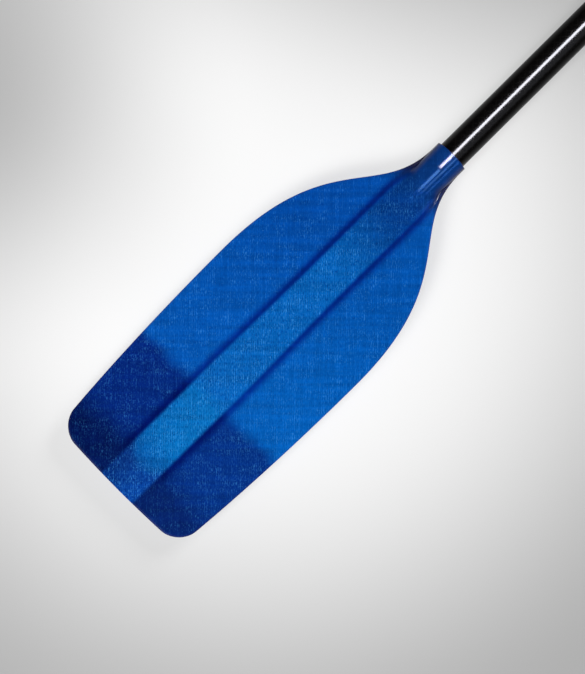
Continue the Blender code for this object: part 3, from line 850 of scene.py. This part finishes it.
def cageRing(up, sideways, acrossRadius, levelRadius):
    # Smoothing draws an eight-sided ring in to a fixed share of its radius
    drawnIn = (2 + math.cos(math.pi / 4)) / 3
    acrossRadius, levelRadius = acrossRadius / drawnIn, levelRadius / drawnIn
    turns = [math.pi / 4 * k for k in range(8)]
    return [(up, sideways, acrossRadius * math.cos(t), levelRadius * math.sin(t)) for t in turns]


def barRings(inset):
    rings = []
    for reach, depthShare, thicknessShare in grip["bar"]:
        depth = grip["barDepth"] * depthShare
        thick = grip["thickness"] * thicknessShare
        middle = grip["height"] - grip["barDroop"] * reach**2 - depth / 2
        sideways = reach * (grip["width"] / 2 + grip["endDrawnIn"] - inset)
        cage = cageRing(middle, sideways, depth / 2 - inset, thick / 2 - inset)
        rings.append([toWorld(grip["foot"] + up + out, y, level) for up, y, out, level in cage])
    mirrored = [[Vector((p.x, -p.y, p.z)) for p in ring] for ring in reversed(rings[1:])]
    return mirrored + rings


def gripCage():
    # The four faces under the middle of the bar give way to the stem
    shell, rings = loft(barRings(0))
    middle = len(rings) // 2
    under = len(rings[middle]) // 2
    front, back = under - 1, under + 1
    above = [rings[middle + 1][k] for k in (under, front)] + [rings[middle][front]]
    above += [rings[middle - 1][k] for k in (front, under, back)]
    above += [rings[middle][back], rings[middle + 1][back]]
    centre = rings[middle][under]
    for face in list(centre.link_faces):
        shell.faces.remove(face)
    shell.verts.remove(centre)
    for share, swell in grip["stem"]:
        radius = grip["stemRadius"] * swell
        cage = cageRing(grip["height"] * share, 0, radius, radius)
        ring = [shell.verts.new(toWorld(grip["foot"] + up, out, level)) for up, _, out, level in cage]
        for k in range(8):
            after = (k + 1) % 8
            shell.faces.new((above[k], above[after], ring[after], ring[k]))
        above = ring
    shell.faces.new(above)
    crease = shell.edges.layers.float.new("crease_edge")
    for k in range(8):
        shell.edges.get((above[k], above[(k + 1) % 8]))[crease] = 1.0
    return shell


def smoothed(shell, levels):
    # The subdivided form of a cage, as a new bmesh
    mesh = bpy.data.meshes.new("cage")
    bmesh.ops.recalc_face_normals(shell, faces=shell.faces)
    shell.to_mesh(mesh)
    shell.free()
    holder = bpy.data.objects.new("cage", mesh)
    bpy.context.collection.objects.link(holder)
    subdivision = holder.modifiers.new("smooth", "SUBSURF")
    subdivision.levels = subdivision.render_levels = levels
    bakeModifiers(holder)
    made = bmesh.new()
    made.from_mesh(holder.data)
    bpy.data.objects.remove(holder, do_unlink=True)
    return made


def box(low, high):
    corners = [(low[0], low[1]), (low[0], high[1]), (high[0], high[1]), (high[0], low[1])]
    return loft([[toWorld(x, y, z) for x, y in corners] for z in (low[2], high[2])])[0]


def addGripHalves(material):
    bore = shaft["radius"] - shaft["wall"]
    reach = grip["width"]
    foot = grip["foot"]
    halves = (("power_side", "grip_shell_power_side", 1), ("back_side", "grip_shell_back_side", -1))
    for name, node, side in halves:
        piece = newPiece(f"grip_half_{name}", smoothed(gripCage(), grip["smoothings"]), material)
        levels = sorted((side * parting, -side * reach))
        cutAway(piece, box((foot - reach, -reach, levels[0]), (foot + reach, reach, levels[1])), "MANIFOLD")
        hollow = smoothed(loft(barRings(grip["wall"]))[0], grip["insideSmoothings"])
        cutAway(piece, hollow, "MANIFOLD")
        channel = (foot - grip["wall"], foot + grip["height"] - grip["barDepth"] / 2)
        cutAway(piece, loft([ringAt(along, bore, shaft["sides"]) for along in channel])[0], "MANIFOLD")
        piece.data.shade_smooth()
        piece.data.set_sharp_from_angle(angle=sharpAngle)
        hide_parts(node)
        print("grip half:", len(piece.data.polygons), "faces")


glueRing = {"clear": 0.1, "shoulder": 0.3, "overShaft": 0.05, "overGrip": 0.35}


def addGripSeam(material):
    # The glue that fills the joint between the end of the shaft and the grip
    start, end = shaft["end"], grip["foot"]
    radius = shaft["radius"]
    inner, lap = radius - shaft["wall"] + glueRing["clear"], glueRing["overShaft"]
    profile = ((start, inner), (start, radius - glueRing["shoulder"]), (start - lap, radius + lap))
    profile += ((end, radius + glueRing["overGrip"]), (end, inner))
    rings = [ringAt(along, r, shaft["sides"]) for along, r in profile]
    return newPiece("grip_glue_ring", loft(rings, closed=True)[0], material)


# Studio

view = {
    "scale": 0.9615,  # millimetres a pixel at the blade's middle plane
    "height": 674,  # of the picture, in pixels
    "along": 222.5,  # where the middle of the picture lies
    "across": -15.8,
    "turn": 44.78,  # degrees from the picture's horizontal to the paddle's axis
    "distance": 2.2,
}


def addCamera():
    camera = bpy.data.cameras.new("camera")
    camera.sensor_width = 36
    camera.lens = camera.sensor_width * view["distance"] / (view["scale"] * view["height"] * mm)
    holder = bpy.data.objects.new("camera", camera)
    holder.location = toWorld(view["along"], view["across"], view["distance"] / mm)
    holder.rotation_euler = (0, 0, -math.radians(view["turn"]))
    bpy.context.collection.objects.link(holder)
    bpy.context.scene.camera = holder


cardLevel = middleZ + 0.055  # of the strip and the cards, which hang close over the paddle
laminatePieces = ("power_face_laminate", "back_face_laminate")
# Places and sizes are in metres in the frame. A lamp with a spread narrower than 180 degrees stays
# out of sight from the sides, and one that is seen on some pieces only doesn't show on the others.
lights = {
    # Two big softboxes off the ends of the paddle, where neither the blade nor the shaft mirrors
    # them in the picture, and two dim ones at the side
    "softbox_tip_end": {
        "place": (-3.0, -0.1, 2.0), "target": (-0.2, 0, 0), "size": (1.6, 1.6), "radiance": 13.2
    },
    "softbox_grip_end": {
        "place": (3.0, -0.1, 2.0), "target": (0.2, 0, 0), "size": (1.6, 1.6), "radiance": 13.2
    },
    "softbox_low_side": {
        "place": (0.75, -1.5, 2.1), "target": (0.2, 0, 0), "size": (1.3, 0.8), "radiance": 0.8
    },
    "softbox_low_back": {
        "place": (0.75, -2.4, 1.1), "target": (0.2, 0, 0), "size": (1.3, 0.5), "radiance": 0.4
    },
    # The line of light along the shaft, the dim card beside it and the line's fainter end on the neck
    "strip_over_shaft": {
        "place": (0.155, -0.0011, cardLevel), "target": (0.155, -0.0011, 0), "size": (0.852, 0.0142),
        "radiance": 34.0, "tint": "#F4F4FF", "spread": 90, "glossOnly": True,
    },
    "card_beside_strip": {
        "place": (0.155, -0.044, cardLevel), "target": (0.155, -0.044, 0), "size": (0.852, 0.062),
        "radiance": 1.5, "tint": "#ECF0FF", "glossOnly": True, "seenOn": ("wound_shaft",),
    },
    "card_over_neck": {
        "place": (-0.296, -0.0075, cardLevel), "target": (-0.296, -0.0075, 0), "size": (0.036, 0.014),
        "radiance": 11.0, "tint": "#80C2FF", "spread": 90, "glossOnly": True,
    },
    # The one glint in the hollow between collar and blade
    "lamp_beside_neck": {
        "place": (-0.041, -0.542, 0.176), "target": (-0.294, -0.019, 0.028), "size": (0.06, 0.06),
        "radiance": 1.0, "spread": 12, "glossOnly": True, "seenOn": laminatePieces,
    },
    # Two narrow cards that face the collar's flank and show as faint lines beside the white one
    "card_beside_neck": {
        "place": (-0.2805, -0.0295, cardLevel), "target": (-0.2805, -0.0048, middleZ + 0.017),
        "size": (0.065, 0.0092), "radiance": 3.15, "tint": "#80C2FF", "spread": 64,
        "glossOnly": True, "seenOn": laminatePieces,
    },
    "card_low_beside_neck": {
        "place": (-0.2805, -0.077, cardLevel), "target": (-0.2805, -0.0085, middleZ + 0.0156),
        "size": (0.065, 0.011), "radiance": 4.4, "tint": "#5AA4FF", "spread": 80,
        "glossOnly": True, "seenOn": laminatePieces,
    },
}


def addLight(name, place, target, size, radiance, tint="#FFFFFF", spread=180, glossOnly=False, seenOn=()):
    lamp = bpy.data.lights.new(name, "AREA")
    lamp.shape = "RECTANGLE"
    lamp.size, lamp.size_y = size
    lamp.energy = radiance * math.pi * size[0] * size[1]
    lamp.color = linear(tint)[:3]
    lamp.spread = math.radians(spread)
    holder = bpy.data.objects.new(name, lamp)
    holder.location = place
    holder.rotation_euler = (Vector(target) - holder.location).to_track_quat("-Z", "Y").to_euler()
    holder.visible_camera = False
    holder.visible_diffuse = not glossOnly
    bpy.context.collection.objects.link(holder)
    if seenOn:
        lit = bpy.data.collections.new(f"seen by {name}")
        for piece in seenOn:
            lit.objects.link(bpy.data.objects[piece])
        holder.light_linking.receiver_collection = lit


surround = {"atHorizon": 0.45, "above": 0.03, "fade": 0.12}  # strength, and how far up it fades


def addWorld():
    # A pale band at the horizon and almost nothing above it, as a white studio's walls give
    world = bpy.data.worlds.new("studio")
    world.use_nodes = True
    tree = world.node_tree
    up = addNode(tree, "SeparateXYZ", {0: addNode(tree, "TexCoord").outputs["Generated"]}).outputs["Z"]
    links = {"Value": up, "From Max": surround["fade"]}
    links.update({"To Min": surround["atHorizon"], "To Max": surround["above"]})
    strength = addNode(tree, "MapRange", links, interpolation_type="SMOOTHSTEP")
    background = tree.nodes["Background"]
    background.inputs["Color"].default_value = (1, 1, 1, 1)
    tree.links.new(strength.outputs[0], background.inputs["Strength"])
    bpy.context.scene.world = world


floor = {
    "reach": 25.0,
    # a painted pool of light: bright round the paddle, dim further out
    "paintedBright": "#FDFDFD",
    "dim": "#B1B1B1",
    "lightPoolAt": (0.037, 0.085),  # centre of the painted pool of light, from the middle of the picture, in metres
    "near": 0.15,
    "far": 0.526,
    # Painted shade in patches: where they lie, how far they reach and how grey they are
    "paintedShades": (((-0.061, 0.362), 0.263, "#CDCDCD"), ((0.429, 0.268), 0.36, "#CDCDCD")),
    "ownLight": 0.62,
}


def addFloor():
    reach = floor["reach"]
    level = cadLow[2] - 0.3 * mm
    shell = bmesh.new()
    corners = ((-reach, -reach), (reach, -reach), (reach, reach), (-reach, reach))
    shell.faces.new([shell.verts.new((x, y, level)) for x, y in corners])
    mesh = bpy.data.meshes.new("floor")
    shell.to_mesh(mesh)
    shell.free()
    thing = bpy.data.objects.new("floor", mesh)
    bpy.context.collection.objects.link(thing)
    mesh.materials.append(backgroundPaper())


def backgroundPaper():
    # Matt white background paper, with a painted pool of light beside the paddle, greyer further out,
    # and painted shade in patches. It gives some of its own light, so that the shadow on it stays soft,
    # and it can't be seen from below.
    material, tree, shader = newMaterial("matt background paper", Roughness=0.9, Specular_IOR_Level=0.0)
    place = addNode(tree, "TexCoord").outputs["Object"]
    middle = toWorld(view["along"], view["across"], 0)
    colour = linear(floor["paintedBright"])
    spots = [(floor["lightPoolAt"], floor["near"], floor["far"], floor["dim"], "MIX")]
    spots += [(at, reach, 0, grey, "MULTIPLY") for at, reach, grey in floor["paintedShades"]]
    # the painted pool of light first, then the patches of painted shade
    for spot, near, far, over, mixing in spots:
        centre = (middle.x + spot[0], middle.y + spot[1], cadLow[2])
        away = addNode(tree, "VectorMath", {0: place, 1: centre}, operation="DISTANCE").outputs["Value"]
        links = {"Value": away, "From Min": near, "From Max": far}
        share = addNode(tree, "MapRange", links, interpolation_type="SMOOTHSTEP")
        links = {0: share, 6: colour, 7: linear(over)}
        colour = addNode(tree, "Mix", links, data_type="RGBA", blend_type=mixing).outputs[2]
    tree.links.new(colour, shader.inputs["Base Color"])
    glow = addNode(tree, "Emission", {"Color": colour})
    path = addNode(tree, "LightPath").outputs
    seen = addNode(tree, "Math", {0: path["Is Camera Ray"], 1: path["Is Glossy Ray"]}, operation="ADD")
    seen = addNode(tree, "Math", {0: seen, 1: path["Is Transmission Ray"]}, operation="ADD")
    own = addNode(tree, "Math", {0: seen, 1: floor["ownLight"]}, operation="MULTIPLY")
    lit = addNode(tree, "MixShader", {0: own, 1: shader, 2: glow})
    under = addNode(tree, "NewGeometry").outputs["Backfacing"]
    both = addNode(tree, "MixShader", {0: under, 1: lit, 2: addNode(tree, "BsdfTransparent")})
    tree.links.new(both.outputs[0], tree.nodes["Material Output"].inputs["Surface"])
    return material


def dressHiddenNodes():
    # The pieces inside the blade and the shaft stay as the frame has them, with their own finishes
    finishes = {
        "spine_core": closedCellFoam(),
        "shaft_foot_plug": closedCellFoam(),
        "grip_spigot": woundTube("ground spigot tube", 0.35),
    }
    ply = wettedCloth()
    for length in ("long", "short"):
        for side in ("left", "right"):
            finishes[f"tip_ply_{length}_{side}"] = ply
    for node, finish in finishes.items():
        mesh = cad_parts[node].data
        mesh.materials.clear()
        mesh.materials.append(finish)
    print("hidden pieces:", len(finishes))


def main():
    bpy.context.scene.view_settings.view_transform = "Standard"
    addCamera()
    laminate = dyedGlassCloth()
    resin = epoxyBead()
    addBladeHalves(laminate)
    addRimBead(resin)
    addCollarFillet(resin)
    addShaft(woundTube("wound fibre tube under clear gloss", 0.16))
    black = mouldedNylon()
    addGripHalves(black)
    addGripSeam(black)
    dressHiddenNodes()
    addFloor()
    for name, light in lights.items():
        addLight(name, **light)
    addWorld()
    print("studio: camera,", len(lights), "lights and floor")


main()
